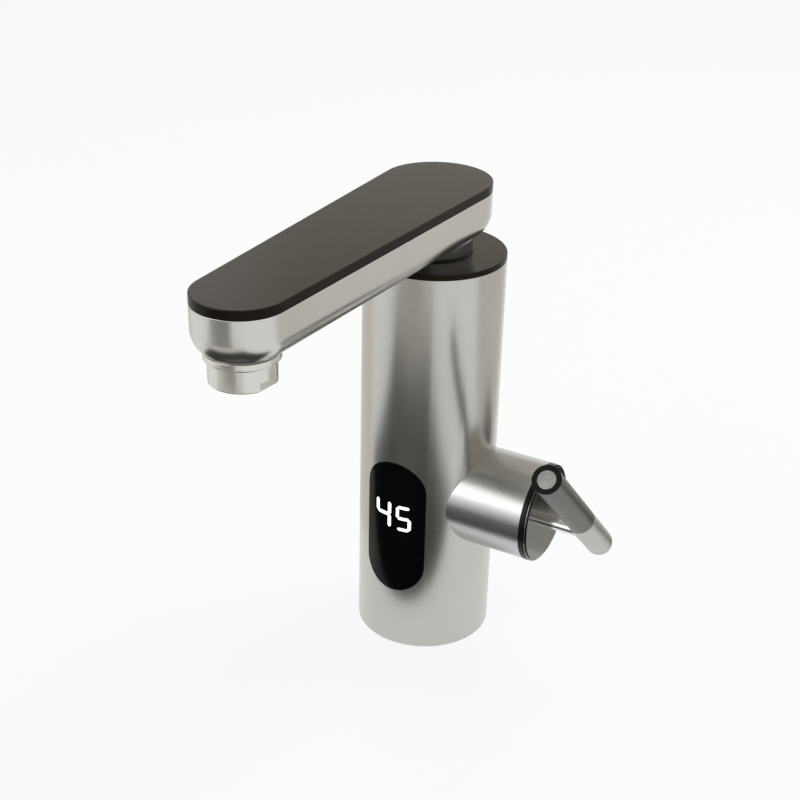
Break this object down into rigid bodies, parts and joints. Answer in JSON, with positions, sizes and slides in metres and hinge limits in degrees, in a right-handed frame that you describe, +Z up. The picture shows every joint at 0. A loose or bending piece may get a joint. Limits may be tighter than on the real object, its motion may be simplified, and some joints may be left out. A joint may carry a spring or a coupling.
{
  "type": "instant-heating kitchen faucet",
  "caption": "Upright round faucet with a swivelling flat-topped spout, a lit temperature window and a side arm with a slim L-shaped lever.",
  "frame": {"origin": "centre of the column's underside, on the deck it stands on", "axes": "+Z up, the spout points along -Y towards the user, the valve arm and lever along +X"},
  "size_m": [0.1173, 0.1848, 0.2104],
  "materials": {
    "satin_steel": "fine brushed satin",
    "polished_steel": "half polished",
    "plain_steel": "plain drawn steel",
    "speckled_silver": "fine sparkling grain",
    "bright_chrome": "mirror",
    "satin_chrome": "satin",
    "dark_panel": "satin charcoal coating",
    "black_plastic": "satin",
    "grey_plastic": "matte moulded",
    "white_plastic": "matte moulded",
    "gloss_black": "high gloss",
    "black_rubber": "matte",
    "green_board": "satin resist",
    "cast_alloy": "die cast",
    "brass_parts": "machined",
    "white_ceramic": "lapped",
    "copper_sheath": "dull sheath"
  },
  "bodies": {
    "column": {"body_shell": "satin_steel", "base_plate": "cast_alloy", "deck_gasket": "black_rubber", "base_screws": "plain_steel", "cable_gland": "black_plastic", "inlet_fitting": "brass_parts", "inlet_screen": "plain_steel", "flow_switch_housing": "black_plastic", "reed_sensor": "green_board", "chassis": "grey_plastic", "valve_body": "brass_parts", "cartridge_body": "white_plastic", "cartridge_nut": "brass_parts", "fixed_ceramic_disc": "white_ceramic", "arm_shell": "satin_steel", "arm_ring": "black_plastic", "heater_tank": "plain_steel", "heater_lid": "plain_steel", "lid_seal": "black_rubber", "heating_element": "copper_sheath", "thermal_cutout": "black_plastic", "temperature_probe": "plain_steel", "control_board": "green_board", "power_switch_block": "black_plastic", "board_screws": "plain_steel", "display_board": "green_board", "digit_module": "black_plastic", "window_lens": "gloss_black", "lens_gasket": "black_rubber", "riser_pipe": "plain_steel", "top_cap": "dark_panel", "neck_washer": "black_rubber", "neck_collar": "bright_chrome", "neck_nut": "brass_parts", "neck_o_rings": "black_rubber", "neck_circlip": "plain_steel", "flow_spring": "plain_steel"},
    "spout": {"spout_shell": "satin_steel", "spout_top_panel": "dark_panel", "swivel_boss": "white_plastic", "swivel_bush": "white_plastic", "spout_waterway": "plain_steel", "nozzle_body": "brass_parts", "nozzle_flange": "satin_chrome", "aerator_housing": "satin_chrome", "aerator_washer": "black_rubber", "aerator_insert": "white_plastic"},
    "lever": {"lever_disk": "polished_steel", "lever_stem": "bright_chrome", "lever_hub": "satin_steel", "lever_grub_screws": "plain_steel", "lever_grip": "satin_steel", "grip_ring": "black_plastic", "grip_end_disc": "speckled_silver", "cartridge_spindle": "brass_parts", "rotating_ceramic_disc": "white_ceramic"},
    "piston": {"flow_piston": "white_plastic"}
  },
  "joints": [
    {"name": "spout_swivel", "type": "hinge", "parent": "column", "child": "spout", "pos_m": [0, 0, 0.19], "axis": [0, 0, 1], "range_deg": [-180, 180]},
    {"name": "lever_turn", "type": "hinge", "parent": "column", "child": "lever", "pos_m": [0.05, 0, 0.071], "axis": [1, 0, 0], "range_deg": [-135.7, 44.3]},
    {"name": "flow_switch_lift", "type": "slide", "parent": "column", "child": "piston", "axis": [0, 0, 1], "range_m": [0, 0.004], "stiffness_N_per_m": 60, "springref_m": -0.003, "deforming": ["flow_spring"]}
  ]
}
